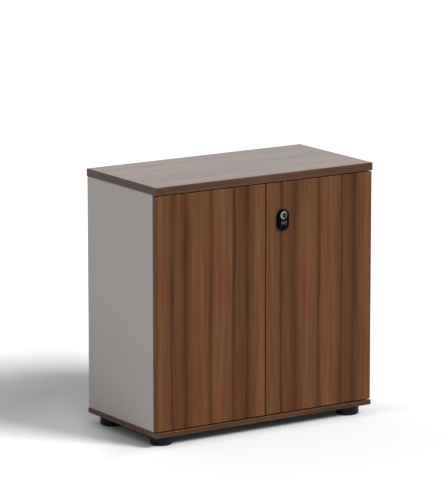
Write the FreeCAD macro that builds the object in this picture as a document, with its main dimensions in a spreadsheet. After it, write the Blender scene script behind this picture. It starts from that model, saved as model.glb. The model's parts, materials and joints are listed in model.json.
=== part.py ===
import FreeCAD, Part
import math
import os
import re
import Sketcher

# Two-door storage cabinet with concealed hinges, a number lock and levelling feet.
# Millimetres, +Z up, doors facing -Y. The origin is on the floor, in the middle of the bounding box.

SIZES = {
    # Boards of the carcass and the edging glued round them
    "cabinet_width": 800,
    "cabinet_depth": 400,
    "top_thickness": 25,
    "base_thickness": 16,
    "side_height": 735,
    "side_thickness": 16,
    "side_inset": 2,
    "back_inset": 2,
    "seam_height": 2,
    "seam_depth": 1.2,
    "band_thickness": 2,
    "band_flat": 0.2,
    # Thin back in its grooves
    "back_thickness": 5,
    "back_setback": 16,
    "groove_depth": 6,
    "groove_clearance": 0.25,
    # Shelf on four pegs
    "shelf_thickness": 16,
    "shelf_height": 350,
    "shelf_side_gap": 1,
    "shelf_front_gap": 30,
    "shelf_back_gap": 2,
    "peg_radius": 2.5,
    "peg_depth": 8,
    "peg_reach": 10,
    "peg_rest_width": 8,
    "peg_margin": 40,
    "peg_pitch": 32,
    # Knock-down joints between the sides and the top and base
    "joint_margin": 60,
    "cam_radius": 7.5,
    "cam_depth": 12.5,
    "cam_offset": 34,
    "cam_slot_width": 2,
    "cam_slot_length": 9,
    "cam_slot_depth": 2,
    "stud_radius": 3,
    "stud_gap": 0.5,
    "stud_thread_radius": 2.5,
    "stud_thread_length": 11,
    "dowel_radius": 4,
    "dowel_in_side": 20,
    "dowel_in_board": 10,
    "dowel_spacing": 32,
    # Doors
    "door_thickness": 16,
    "door_inset": 2,
    "door_back_gap": 3,
    "door_end_gap": 3,
    "door_centre_gap": 3,
    # Hinge cups in the doors, with the pin that each arm's eye turns on
    "hinge_margin": 88,
    "cup_radius": 17.5,
    "cup_depth": 13,
    "cup_wall": 1,
    "cup_floor": 0.8,
    "cup_margin": 3,
    "flange_thickness": 1.2,
    "flange_width": 28,
    "flange_height": 60,
    "flange_shift": 5.5,
    "cup_screw_offset": 9.5,
    "cup_screw_spacing": 45,
    "cup_screw_radius": 1.75,
    "cup_screw_length": 12,
    "pin_radius": 1.5,
    "boss_wall": 1.5,
    "boss_gap": 0.6,
    "boss_length": 5,
    "pin_end_gap": 0.5,
    # Hinge arms and the plates that hold them on the sides
    "arm_width": 8,
    "eye_wall": 1.1,
    "eye_gap": 0.4,
    "eye_floor_gap": 0.6,
    "neck_thickness": 3,
    "leg_thickness": 3.5,
    "arm_depth": 7,
    "arm_start": 6,
    "arm_length": 54,
    "arm_body_width": 14,
    "arm_screw_setback": 50,
    "arm_screw_radius": 2,
    "plate_thickness": 4,
    "plate_start": 9,
    "plate_length": 52,
    "wing_thickness": 2,
    "wing_width": 12,
    "wing_height": 48,
    "plate_screw_setback": 37,
    "plate_screw_spacing": 32,
    "plate_screw_radius": 2.5,
    "plate_screw_length": 12,
    # Number lock on the right door
    "lock_width": 40,
    "lock_height": 66,
    "lock_thickness": 10,
    "lock_round": 2.5,
    "lock_margin": 59.5,
    "lock_drop": 118,
    "barrel_radius": 9.5,
    "barrel_clearance": 0.2,
    "barrel_reach": 4,
    "nut_radius": 14,
    "nut_thickness": 3.6,
    "knob_offset": 15.5,
    "knob_radius": 8.5,
    "knob_recess": 2.5,
    "knob_gap": 0.3,
    "knob_disc_proud": 1.5,
    "knob_proud": 4,
    "grip_width": 5,
    "grip_height": 15,
    "ring_radius": 12.5,
    "ring_gap": 0.5,
    "ring_proud": 2.5,
    "ring_crest": 0.8,
    "spindle_radius": 4,
    "face_wall": 1.2,
    "wheel_radius": 10,
    "wheel_width": 6.6,
    "wheel_pitch": 8,
    "wheel_drop": 9,
    "wheel_proud": 0.8,
    "wheel_gap": 0.5,
    "window_gap": 0.4,
    "cage_wall": 2.5,
    "cage_gap": 0.2,
    "axle_radius": 1.25,
    "axle_in_wall": 1.8,
    # Cam behind the lock and the plate that it catches
    "tongue_length": 75,
    "tongue_width": 14,
    "tongue_thickness": 2.5,
    "tongue_gap": 0.3,
    "hub_radius": 10,
    "tenon_size": 5,
    "cam_screw_radius": 1.5,
    "cam_screw_length": 10,
    "cam_screw_head": 5,
    "strike_width": 26,
    "strike_height": 40,
    "strike_thickness": 3,
    "strike_margin": 2,
    "strike_screw_spacing": 26,
    "strike_screw_radius": 1.5,
    "strike_screw_length": 11,
    # Barrel bolt of the left door
    "bolt_radius": 3,
    "bolt_length": 66,
    "bolt_margin": 30,
    "bolt_drop": 1,
    "bolt_hole_depth": 10,
    "bolt_hole_gap": 0.6,
    "bolt_handle_radius": 2.5,
    "bolt_handle_reach": 13,
    "bolt_handle_height": 23,
    "bolt_plate_thickness": 1.5,
    "bolt_plate_width": 32,
    "bolt_plate_height": 60,
    "bolt_plate_drop": 4,
    "guide_width": 14,
    "guide_depth": 11,
    "guide_height": 12,
    "guide_margin": 3,
    "bolt_screw_margin": 5,
    "bolt_screw_radius": 1.5,
    "bolt_screw_length": 11,
    "keeper_width": 30,
    "keeper_depth": 18,
    "keeper_thickness": 1.5,
    "keeper_screw_margin": 5,
    # Heads that the screws share, with their cross recess
    "large_head_radius": 4.5,
    "large_head_height": 2,
    "small_head_radius": 3,
    "small_head_height": 1.4,
    "recess_length": 4,
    "recess_width": 0.9,
    "recess_depth": 0.9,
    # Levelling feet
    "foot_height": 33,
    "foot_radius": 36,
    "foot_sole_radius": 32,
    "foot_bevel_height": 4.5,
    "foot_shoulder": 2,
    "foot_top_gap": 0.3,
    "foot_side_margin": 52,
    "foot_end_margin": 55,
    "stem_radius": 5,
    "stem_clearance": 0.06,
    "stem_in_foot": 16,
    "stem_in_base": 12,
    "insert_wall": 1.5,
    "insert_length": 14,
    "insert_flange_radius": 10,
    "insert_flange_thickness": 1.5,
    # Clearances and the overrun of every cut
    "fit_gap": 0.05,
    "overrun": 1,
}

# Places that follow from the driving sizes.
PLACES = {
    "lock_reach": "knob_proud + lock_thickness - door_inset",
    "front_y": "(lock_reach - cabinet_depth) / 2",
    "back_y": "front_y + cabinet_depth",
    "band_round": "band_thickness - band_flat",
    "base_top": "foot_height + base_thickness",
    "side_top": "base_top + side_height",
    "cabinet_top": "side_top + top_thickness",
    "side_x": "cabinet_width / 2 - side_inset",
    "inner_x": "side_x - side_thickness",
    "joint_x": "side_x - side_thickness / 2",
    "door_front": "front_y + door_inset",
    "door_back": "door_front + door_thickness",
    "side_front": "door_back + door_back_gap",
    "side_back": "back_y - back_inset",
    "door_edge": "door_centre_gap / 2",
    "door_width": "side_x - door_edge",
    "door_bottom": "base_top + door_end_gap",
    "door_top": "side_top - door_end_gap",
    "door_height": "door_top - door_bottom",
    "groove_width": "back_thickness + 2 * groove_clearance",
    "groove_front": "side_back - back_setback - groove_width",
    "back_face": "groove_front + groove_clearance",
    "back_reach": "groove_depth - groove_clearance",
    "shelf_bottom": "base_top + shelf_height",
    "shelf_front": "side_front + shelf_front_gap",
    "shelf_back": "back_face - shelf_back_gap",
    "shelf_end": "inner_x - shelf_side_gap",
    "peg_level": "shelf_bottom - peg_radius",
    "front_peg": "shelf_front + peg_margin",
    "back_peg": "shelf_back - peg_margin",
    "front_joint": "side_front + joint_margin",
    "back_joint": "side_back - joint_margin",
    "front_dowel": "front_joint + dowel_spacing",
    "back_dowel": "back_joint - dowel_spacing",
    "low_hinge": "door_bottom + hinge_margin",
    "high_hinge": "door_top - hinge_margin",
    "cup_centre": "cup_margin + cup_radius",
    "cavity_radius": "cup_radius - cup_wall",
    "eye_radius": "pin_radius + eye_wall",
    "eye_wall_depth": "sqrt(cavity_radius * cavity_radius - arm_width * arm_width / 4)",
    "pin_in": "cup_centre - eye_wall_depth + eye_gap + eye_radius",
    "pin_back": "eye_radius + eye_floor_gap + cup_floor - cup_depth - door_back_gap",
    "boss_half": "pin_radius + boss_wall",
    "boss_start": "arm_width / 2 + boss_gap",
    "boss_end": "boss_start + boss_length",
    "cup_screw_in": "cup_centre + cup_screw_offset",
    "plate_face": "side_thickness + plate_thickness",
    "wing_face": "side_thickness + wing_thickness",
    "arm_face": "plate_face + arm_depth",
    "lock_x": "door_edge + lock_margin",
    "lock_z": "door_top - lock_drop",
    "lock_face": "door_front - lock_thickness",
    "knob_z": "lock_z + knob_offset",
    "knob_back": "lock_face + knob_recess - knob_gap",
    "ring_bore": "knob_radius + fit_gap",
    "ring_front": "lock_face - ring_proud",
    "wheel_y": "lock_face + wheel_radius - wheel_proud",
    "wheel_z": "lock_z - wheel_drop",
    "wheel_room": "wheel_radius + wheel_gap",
    "wheel_chord": "wheel_radius - wheel_proud - face_wall",
    "window_half": "sqrt(wheel_radius * wheel_radius - wheel_chord * wheel_chord) + window_gap",
    "cage_inner": "wheel_pitch + wheel_width / 2 + window_gap",
    "cage_outer": "cage_inner + cage_wall",
    "cage_height": "wheel_room + cage_wall",
    "cage_back": "wheel_y + wheel_room",
    "cam_front": "door_back + barrel_reach + tongue_gap",
    "cam_back": "cam_front + tongue_thickness",
    "strike_x": "-door_edge - strike_margin - strike_width / 2",
    "bolt_x": "-door_edge - bolt_margin",
    "bolt_y": "door_back + bolt_plate_thickness + guide_depth / 2",
    "bolt_top": "door_top - bolt_drop",
    "bolt_plate_top": "door_top - bolt_plate_drop",
    "bolt_plate_bottom": "bolt_plate_top - bolt_plate_height",
    "bolt_plate_face": "door_back + bolt_plate_thickness",
    "keeper_face": "side_top - keeper_thickness",
    "keeper_screw_x": "keeper_width / 2 - keeper_screw_margin",
    "foot_x": "cabinet_width / 2 - foot_side_margin",
    "front_foot": "front_y + foot_end_margin",
    "back_foot": "back_y - foot_end_margin",
    "foot_top": "foot_height - foot_top_gap",
    "foot_shoulder_radius": "foot_radius - foot_shoulder",
    "foot_shoulder_height": "foot_top - foot_shoulder",
    "stem_bottom": "foot_height - stem_in_foot",
    "stem_bore": "stem_radius + stem_clearance",
    "insert_radius": "stem_bore + insert_wall",
}

LEFT, RIGHT = -1, 1
SIDES = {LEFT: "left", RIGHT: "right"}
BOTH_WAYS = (-1, 1)
PEG_ROWS = (-2, -1, 0, 1, 2)
WHEELS = {"left": -1, "middle": 0, "right": 1}
WHEEL_FACETS = 10
NUT_FACETS = 6
SAME_PLACE = 1e-6

AXES = {axis: FreeCAD.Vector(*unit) for axis, unit in zip("xyz", ((1, 0, 0), (0, 1, 0), (0, 0, 1)))}
UPRIGHT = FreeCAD.Rotation()
HALF_TURN = {axis: FreeCAD.Rotation(vector, 180) for axis, vector in AXES.items()}
POINTING = {"x": FreeCAD.Rotation(AXES["y"], 90), "y": FreeCAD.Rotation(AXES["x"], -90), "z": UPRIGHT}

doc = FreeCAD.newDocument("StorageCabinet")
sheet = doc.addObject("Spreadsheet::Sheet", "Sizes")
nodes = []


def fill_sheet():
    """Driving sizes as plain numbers, then the places as formulas, each cell with its alias."""
    cells = [(name, str(value)) for name, value in SIZES.items()]
    cells += [(name, "=" + text) for name, text in PLACES.items()]
    for row, (name, content) in enumerate(cells, start=1):
        sheet.set(f"A{row}", name)
        sheet.set(f"B{row}", content)
        sheet.setAlias(f"B{row}", name)
    doc.recompute()


def formula(text):
    """The text with every alias pointed at the sheet."""
    def point(word):
        name = word.group()
        return "Sizes." + name if name in SIZES or name in PLACES else name
    return re.sub(r"[a-z_]+", point, text)


def bind(piece, prop, text):
    piece.setExpression(prop, formula(text))


def place(piece, x, y, z, turn=UPRIGHT):
    piece.Placement = FreeCAD.Placement(FreeCAD.Vector(), turn)
    for axis, text in zip("xyz", (x, y, z)):
        bind(piece, f"Placement.Base.{axis}", text)


def box(name, x, y, z):
    """A block from its low to its high end along each axis."""
    piece = doc.addObject("Part::Box", name)
    for prop, (low, high) in zip(("Length", "Width", "Height"), (x, y, z)):
        bind(piece, prop, f"({high}) - ({low})")
    place(piece, x[0], y[0], z[0])
    return piece


def lay(piece, axis, span, at):
    """Gives a primitive its length along an axis and its place on the other two."""
    bind(piece, "Height", f"({span[1]}) - ({span[0]})")
    start = list(at)
    start.insert("xyz".index(axis), span[0])
    place(piece, *start, turn=POINTING[axis])
    return piece


def rod(name, radius, axis, span, at):
    piece = doc.addObject("Part::Cylinder", name)
    bind(piece, "Radius", radius)
    return lay(piece, axis, span, at)


def cone(name, radii, axis, span, at):
    """Blunt cone, with one radius at the low end of its span and the other at the high end."""
    piece = doc.addObject("Part::Cone", name)
    for prop, text in zip(("Radius1", "Radius2"), radii):
        bind(piece, prop, text)
    return lay(piece, axis, span, at)


def prism(name, flats, radius, axis, span, at):
    piece = doc.addObject("Part::Prism", name)
    piece.Polygon = flats
    bind(piece, "Circumradius", radius)
    return lay(piece, axis, span, at)


def fuse(name, *pieces):
    joined = doc.addObject("Part::MultiFuse", name)
    joined.Shapes = list(pieces)
    return joined


def common(name, *pieces):
    shared = doc.addObject("Part::MultiCommon", name)
    shared.Shapes = list(pieces)
    return shared


def cut(name, base, *tools):
    piece = doc.addObject("Part::Cut", name)
    piece.Base = base
    piece.Tool = tools[0] if len(tools) == 1 else fuse(name + "Tools", *tools)
    return piece


def gather(name, *pieces):
    group = doc.addObject("Part::Compound", name)
    group.Links = list(pieces)
    return group


def copies(name, source, spots):
    """One linked copy of the source at every spot: x, y, z and a turn."""
    links = []
    for x, y, z, turn in spots:
        link = doc.addObject("App::Link", name + "Copy")
        link.LinkedObject = source
        link.LinkTransform = True
        place(link, x, y, z, turn)
        links.append(link)
    return gather(name, *links)


def node(label, piece):
    """Marks a finished sub-part, whose label names its file."""
    piece.Label = label
    nodes.append(piece)
    return piece


def about(centre, half):
    """Span of a half size each way from a centre."""
    return f"({centre}) - ({half})", f"({centre}) + ({half})"


def inward(side, low, high):
    """Span along X measured inward from the outer face of a side."""
    if side == LEFT:
        return f"({low}) - side_x", f"({high}) - side_x"
    return f"side_x - ({high})", f"side_x - ({low})"


def inward_at(side, depth):
    return f"{side} * (side_x - ({depth}))"


def into(level, way, depth):
    """Span that goes a depth up (1) or down (-1) from a level, with the overrun behind it."""
    if way > 0:
        return f"{level} - overrun", f"{level} + {depth}"
    return f"{level} - ({depth})", f"{level} + overrun"


def cross(name, length, width, axis, span, at):
    """Two crossed bars that sink a driver's recess along an axis."""
    bars = []
    for sizes in ((length, width), (width, length)):
        spans = [about(centre, f"{size} / 2") for centre, size in zip(at, sizes)]
        spans.insert("xyz".index(axis), span)
        bars.append(box(name, *spans))
    return bars


def screw(name, head, shank, axis, seat, way, at):
    """Cross-head screw: the shank goes the given way from its seat, the head stands on the other side."""
    head_radius, head_height = head
    shank_radius, shank_length = shank
    if way > 0:
        crown = f"({seat}) - {head_height}"
        head_span = (crown, seat)
        shank_span = (seat, f"({seat}) + {shank_length}")
        recess_span = (f"{crown} - overrun", f"{crown} + recess_depth")
    else:
        crown = f"({seat}) + {head_height}"
        head_span = (seat, crown)
        shank_span = (f"({seat}) - {shank_length}", seat)
        recess_span = (f"{crown} - recess_depth", f"{crown} + overrun")
    blank = fuse(name + "Blank", rod(name + "Head", head_radius, axis, head_span, at),
                 rod(name + "Shank", shank_radius, axis, shank_span, at))
    return cut(name, blank, *cross(name + "Recess", "recess_length", "recess_width", axis, recess_span, at))


LARGE_HEAD = ("large_head_radius", "large_head_height")
SMALL_HEAD = ("small_head_radius", "small_head_height")


def sketch_on(body, role, name):
    sketch = body.newObject("Sketcher::SketchObject", name)
    plane = next(feature for feature in body.Origin.OriginFeatures if feature.Role == role)
    sketch.AttachmentSupport = [(plane, "")]
    sketch.MapMode = "FlatFace"
    return sketch


def constrain(sketch, name, text, *arguments):
    """A dimension that the sheet drives."""
    index = sketch.addConstraint(Sketcher.Constraint(*arguments))
    sketch.renameConstraint(index, name)
    bind(sketch, f"Constraints.{name}", text)


def draw_loop(sketch, points):
    """Closed run of straight lines, joined end to end; gives the index of its first line."""
    first = sketch.GeometryCount
    for start, end in zip(points, points[1:] + points[:1]):
        sketch.addGeometry(Part.LineSegment(FreeCAD.Vector(*start), FreeCAD.Vector(*end)), False)
    for index in range(len(points)):
        follower = (index + 1) % len(points)
        sketch.addConstraint(Sketcher.Constraint("Coincident", first + index, 2, first + follower, 1))
    return first


def draw_rectangle(sketch, name, width, height, shrink):
    """Rectangle centred on the sketch's origin, smaller than two named sizes by a shrink on each side."""
    half_width = sheet.get(width) / 2 - sheet.get("band_thickness") * shrink
    half_height = sheet.get(height) / 2 - sheet.get("band_thickness") * shrink
    first = draw_loop(sketch, [(-half_width, -half_height, 0), (half_width, -half_height, 0),
                               (half_width, half_height, 0), (-half_width, half_height, 0)])
    for line in (first, first + 2):
        sketch.addConstraint(Sketcher.Constraint("Horizontal", line))
    for line in (first + 1, first + 3):
        sketch.addConstraint(Sketcher.Constraint("Vertical", line))
    sketch.addConstraint(Sketcher.Constraint("Symmetric", first, 1, first + 1, 2, -1, 1))
    constrain(sketch, name + "Width", f"{width} - 2 * {shrink} * band_thickness",
              "DistanceX", first, 1, first, 2, 2 * half_width)
    constrain(sketch, name + "Height", f"{height} - 2 * {shrink} * band_thickness",
              "DistanceY", first + 1, 1, first + 1, 2, 2 * half_height)


def pad(body, sketch, length):
    feature = body.newObject("PartDesign::Pad", sketch.Name + "Pad")
    feature.Profile = sketch
    bind(feature, "Length", length)
    doc.recompute()
    return feature


def round_edges(body, feature, radius, wanted):
    """Fillet on those edges of a feature that the wanted test picks."""
    names = [f"Edge{number}" for number, edge in enumerate(feature.Shape.Edges, start=1) if wanted(edge)]
    fillet = body.newObject("PartDesign::Fillet", feature.Name + "Round")
    fillet.Base = (feature, names)
    bind(fillet, "Radius", radius)
    doc.recompute()
    return fillet


def edge_band(name, plane, width, height, thickness):
    """Edging strip round a board: a frame whose outer edges are rounded."""
    body = doc.addObject("PartDesign::Body", name)
    sketch = sketch_on(body, plane, name + "Outline")
    draw_rectangle(sketch, "outer", width, height, 0)
    draw_rectangle(sketch, "inner", width, height, 1)
    frame = pad(body, sketch, thickness)
    limits = frame.Shape.BoundBox
    flat_axes = plane[:2]

    def at_outer_corner(vertex):
        for axis, value in zip("XYZ", vertex.Point):
            ends = getattr(limits, axis + "Min"), getattr(limits, axis + "Max")
            if axis in flat_axes and min(abs(value - end) for end in ends) > SAME_PLACE:
                return False
        return True

    round_edges(body, frame, "band_round", lambda edge: all(map(at_outer_corner, edge.Vertexes)))
    return body


def front_edge(feature):
    """Test for the edges that lie in the front plane of a feature."""
    front = feature.Shape.BoundBox.YMin
    return lambda edge: edge.BoundBox.YMax - front < SAME_PLACE


def build_top():
    core = box("TopCore", about("0", "cabinet_width / 2 - band_thickness"),
               ("front_y + band_thickness", "back_y - band_thickness"), ("side_top", "cabinet_top"))
    tools = board_holes("side_top", 1)
    tools.append(rod("BoltHole", "bolt_radius + bolt_hole_gap", "z",
                     into("side_top", 1, "bolt_hole_depth"), ("bolt_x", "bolt_y")))
    for way in BOTH_WAYS:
        tools.append(rod("KeeperScrewHole", "bolt_screw_radius + fit_gap", "z",
                         into("side_top", 1, "bolt_screw_length"),
                         (f"bolt_x + {way} * keeper_screw_x", "bolt_y")))
    node("top_panel", cut("TopPanel", core, *tools))
    band = edge_band("TopBand", "XY_Plane", "cabinet_width", "cabinet_depth", "top_thickness")
    place(band, "0", "(front_y + back_y) / 2", "side_top")
    node("top_edge_band", band)


def build_base():
    core = box("BaseCore", about("0", "cabinet_width / 2 - band_thickness"),
               ("front_y + band_thickness", "back_y - band_thickness"), ("foot_height", "base_top"))
    tools = board_holes("base_top", -1)
    for x, y, z, turn in foot_spots():
        tools.append(rod("InsertHole", "insert_radius + fit_gap", "z",
                         into(z, 1, "insert_length + fit_gap"), (x, y)))
        tools.append(rod("InsertSeat", "insert_flange_radius + fit_gap", "z",
                         into(z, 1, "insert_flange_thickness"), (x, y)))
    node("base_panel", cut("BasePanel", core, *tools))
    band = edge_band("BaseBand", "XY_Plane", "cabinet_width", "cabinet_depth", "base_thickness")
    place(band, "0", "(front_y + back_y) / 2", "foot_height")
    node("base_edge_band", band)


def board_holes(level, way):
    """Groove and joint holes in the face of the top or base that the sides meet."""
    tools = [box("BoardGroove", about("0", "inner_x + groove_depth"),
                 ("groove_front", "groove_front + groove_width"), into(level, way, "groove_depth"))]
    for side in SIDES:
        x = f"{side} * joint_x"
        for joint, dowel in (("front_joint", "front_dowel"), ("back_joint", "back_dowel")):
            tools.append(rod("StudHole", "stud_thread_radius + fit_gap", "z",
                             into(level, way, "stud_thread_length + fit_gap"), (x, joint)))
            tools.append(rod("DowelHole", "dowel_radius + fit_gap", "z",
                             into(level, way, "dowel_in_board + fit_gap"), (x, dowel)))
    return tools


def build_sides():
    for side, word in SIDES.items():
        x = inward(side, "0", "side_thickness")
        seam = box("SideSeam", inward(side, "-overrun", "seam_depth"),
                   ("side_front - overrun", "side_back + overrun"), into("base_top", 1, "seam_height"))
        core = box("SideCore", x, ("side_front + band_thickness", "side_back"), ("base_top", "side_top"))
        node(f"{word}_side_panel", cut("SidePanel", core, seam, *side_holes(side)))
        band = box("SideBandStrip", x, ("side_front", "side_front + band_thickness"),
                   ("base_top", "side_top"))
        node(f"{word}_side_edge_band", cut("SideBand", band, seam))


def side_holes(side):
    """Groove, joint bores, peg rows and hinge-plate holes in one side panel."""
    face = inward(side, "side_thickness - groove_depth", "side_thickness + overrun")
    tools = [box("SideGroove", face, ("groove_front", "groove_front + groove_width"),
                 ("base_top - overrun", "side_top + overrun"))]
    for level, way in (("side_top", -1), ("base_top", 1)):
        for joint, dowel in (("front_joint", "front_dowel"), ("back_joint", "back_dowel")):
            tools.append(rod("StudBore", "stud_radius + stud_gap", "z",
                             into(level, way, "cam_offset"), (f"{side} * joint_x", joint)))
            tools.append(rod("SideDowelHole", "dowel_radius + fit_gap", "z",
                             into(level, way, "dowel_in_side + fit_gap"), (f"{side} * joint_x", dowel)))
            tools.append(rod("CamPocket", "cam_radius + fit_gap", "x",
                             inward(side, "side_thickness - cam_depth", "side_thickness + overrun"),
                             (joint, f"{level} + {way} * cam_offset")))
    for y in ("front_peg", "back_peg"):
        for row in PEG_ROWS:
            tools.append(rod("PegHole", "peg_radius + fit_gap", "x",
                             inward(side, "side_thickness - peg_depth", "side_thickness + overrun"),
                             (y, f"peg_level + {row} * peg_pitch")))
    for hinge in ("low_hinge", "high_hinge"):
        for way in BOTH_WAYS:
            depth = inward(side, "wing_face - plate_screw_length - fit_gap", "side_thickness + overrun")
            height = f"{hinge} + {way} * plate_screw_spacing / 2"
            tools.append(rod("PlateScrewHole", "plate_screw_radius + fit_gap", "x", depth,
                             ("side_front + plate_screw_setback", height)))
    return tools


def build_back_and_shelf():
    node("back_panel", box("BackPanel", about("0", "inner_x + back_reach"),
                           ("back_face", "back_face + back_thickness"),
                           ("base_top - back_reach", "side_top + back_reach")))
    shelf_z = ("shelf_bottom", "shelf_bottom + shelf_thickness")
    node("shelf_panel", box("ShelfPanel", about("0", "shelf_end"),
                            ("shelf_front + band_thickness", "shelf_back"), shelf_z))
    node("shelf_edge_band", box("ShelfBand", about("0", "shelf_end"),
                                ("shelf_front", "shelf_front + band_thickness"), shelf_z))
    peg = fuse("Peg", rod("PegPin", "peg_radius", "x", ("-peg_depth", "0"), ("0", "0")),
               box("PegRest", ("0", "peg_reach"), about("0", "peg_rest_width / 2"),
                   about("0", "peg_radius")))
    spots = [("-inner_x", y, "peg_level", UPRIGHT) for y in ("front_peg", "back_peg")]
    spots += [("inner_x", y, "peg_level", HALF_TURN["z"]) for y in ("front_peg", "back_peg")]
    node("shelf_pegs", copies("ShelfPegs", peg, spots))


def build_joints():
    """Cam, stud and dowel at each corner joint of a side with the top and the base."""
    cam = cut("Cam", rod("CamBarrel", "cam_radius", "x", ("0", "cam_depth"), ("0", "0")),
              rod("CamBore", "stud_radius + stud_gap", "z", about("0", "cam_radius + overrun"),
                  ("side_thickness / 2", "0")),
              *cross("CamSlot", "cam_slot_length", "cam_slot_width", "x", ("-overrun", "cam_slot_depth"),
                     ("0", "0")))
    stud = fuse("Stud", rod("StudShank", "stud_radius", "z", ("-cam_offset", "0"), ("0", "0")),
                rod("StudThread", "stud_thread_radius", "z", ("0", "stud_thread_length"), ("0", "0")))
    dowel = rod("Dowel", "dowel_radius", "z", ("-dowel_in_side", "dowel_in_board"), ("0", "0"))
    cams, studs, dowels = [], [], []
    for side in SIDES:
        for level, way, turn in (("side_top", -1, UPRIGHT), ("base_top", 1, HALF_TURN["x"])):
            for y in ("front_joint", "back_joint"):
                cams.append((f"{side} * inner_x", y, f"{level} + {way} * cam_offset",
                             UPRIGHT if side == RIGHT else HALF_TURN["z"]))
                studs.append((f"{side} * joint_x", y, level, turn))
            for y in ("front_dowel", "back_dowel"):
                dowels.append((f"{side} * joint_x", y, level, turn))
    node("cam_fittings", copies("CamFittings", cam, cams))
    node("cam_studs", copies("CamStuds", stud, studs))
    node("wood_dowels", copies("WoodDowels", dowel, dowels))


def hinge_spots(side):
    """Both hinges of a door: outer face of the side, its front edge, mid height of the hinge."""
    turn = UPRIGHT if side == LEFT else HALF_TURN["y"]
    return [(f"{side} * side_x", "side_front", height, turn) for height in ("low_hinge", "high_hinge")]


def build_hinges():
    """Hinge pieces, drawn once: X inward from the side's outer face, Y back from its front edge."""
    pieces = {"hinge_plates": hinge_plate(), "hinge_arms": hinge_arm(), "hinge_cups": hinge_cup(),
              "hinge_pins": rod("HingePin", "pin_radius", "z", about("0", "boss_end - pin_end_gap"),
                                ("pin_in", "pin_back")),
              "cup_screws": cup_screws()}
    for side, word in SIDES.items():
        for label, piece in pieces.items():
            node(f"{word}_{label}", copies(label.title().replace("_", ""), piece, hinge_spots(side)))
    every_spot = hinge_spots(LEFT) + hinge_spots(RIGHT)
    pair = [screw("PlateScrew", LARGE_HEAD, ("plate_screw_radius", "plate_screw_length"), "x",
                  "wing_face", -1, ("plate_screw_setback", f"{way} * plate_screw_spacing / 2"))
            for way in BOTH_WAYS]
    node("plate_screws", copies("PlateScrews", gather("PlateScrewPair", *pair), every_spot))
    fixing = screw("ArmScrew", SMALL_HEAD, ("arm_screw_radius", "arm_depth + wing_thickness"), "x",
                   "arm_face", -1, ("arm_screw_setback", "0"))
    node("arm_screws", copies("ArmScrews", fixing, every_spot))


def hinge_plate():
    block = box("PlateBlock", ("side_thickness", "plate_face"),
                ("plate_start", "plate_start + plate_length"), about("0", "arm_body_width / 2"))
    wing = box("PlateWing", ("side_thickness", "wing_face"), about("plate_screw_setback", "wing_width / 2"),
               about("0", "wing_height / 2"))
    tools = [rod("WingHole", "plate_screw_radius + fit_gap", "x",
                 ("side_thickness - overrun", "wing_face + overrun"),
                 ("plate_screw_setback", f"{way} * plate_screw_spacing / 2")) for way in BOTH_WAYS]
    tools.append(rod("PlateThread", "arm_screw_radius + fit_gap", "x",
                     ("side_thickness - overrun", "plate_face + overrun"), ("arm_screw_setback", "0")))
    return cut("HingePlate", fuse("PlateBlank", block, wing), *tools)


def hinge_arm():
    """Bent arm: body on the plate, leg into the cup, neck along the cup's floor and the eye at its end."""
    width = about("0", "arm_width / 2")
    eye = rod("ArmEye", "eye_radius", "z", width, ("pin_in", "pin_back"))
    neck = box("ArmNeck", ("pin_in", "arm_face"), about("pin_back", "neck_thickness / 2"), width)
    leg = box("ArmLeg", ("arm_face - leg_thickness", "arm_face"),
              ("pin_back - neck_thickness / 2", "arm_start + leg_thickness"), width)
    stock = box("ArmStock", ("plate_face", "arm_face"), ("arm_start", "arm_start + arm_length"),
                about("0", "arm_body_width / 2"))
    return cut("HingeArm", fuse("ArmBlank", eye, neck, leg, stock),
               rod("EyeBore", "pin_radius + fit_gap", "z", about("0", "arm_width / 2 + overrun"),
                   ("pin_in", "pin_back")),
               rod("ArmScrewHole", "arm_screw_radius + fit_gap", "x",
                   ("plate_face - overrun", "arm_face + overrun"), ("arm_screw_setback", "0")))


def hinge_cup():
    mouth = "-door_back_gap"
    floor = "-door_back_gap - cup_depth"
    wall = rod("CupWall", "cup_radius", "y", (floor, mouth), ("cup_centre", "0"))
    flange = box("CupFlange", about("cup_centre + flange_shift", "flange_width / 2"),
                 (mouth, f"{mouth} + flange_thickness"), about("0", "flange_height / 2"))
    cavity = rod("CupCavity", "cavity_radius", "y",
                 (f"{floor} + cup_floor", f"{mouth} + flange_thickness + overrun"), ("cup_centre", "0"))
    shell = cut("CupShell", fuse("CupBlank", wall, flange), cavity)
    blocks = [box("CupBoss", ("cup_margin", "pin_in + boss_half"), (floor, "pin_back + boss_half"), span)
              for span in (("boss_start", "boss_end"), ("-boss_end", "-boss_start"))]
    bosses = common("CupBosses", fuse("CupBossBlocks", *blocks), wall)
    tools = [rod("PinBore", "pin_radius + fit_gap", "z", about("0", "boss_end + overrun"),
                 ("pin_in", "pin_back"))]
    for way in BOTH_WAYS:
        tools.append(rod("FlangeHole", "cup_screw_radius + fit_gap", "y", (f"{mouth} - overrun", "overrun"),
                         ("cup_screw_in", f"{way} * cup_screw_spacing / 2")))
    return cut("HingeCup", fuse("CupWithBosses", shell, bosses), *tools)


def cup_screws():
    seat = "flange_thickness - door_back_gap"
    pair = [screw("CupScrew", SMALL_HEAD, ("cup_screw_radius", "cup_screw_length"), "y", seat, -1,
                  ("cup_screw_in", f"{way} * cup_screw_spacing / 2")) for way in BOTH_WAYS]
    return gather("CupScrewPair", *pair)


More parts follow.
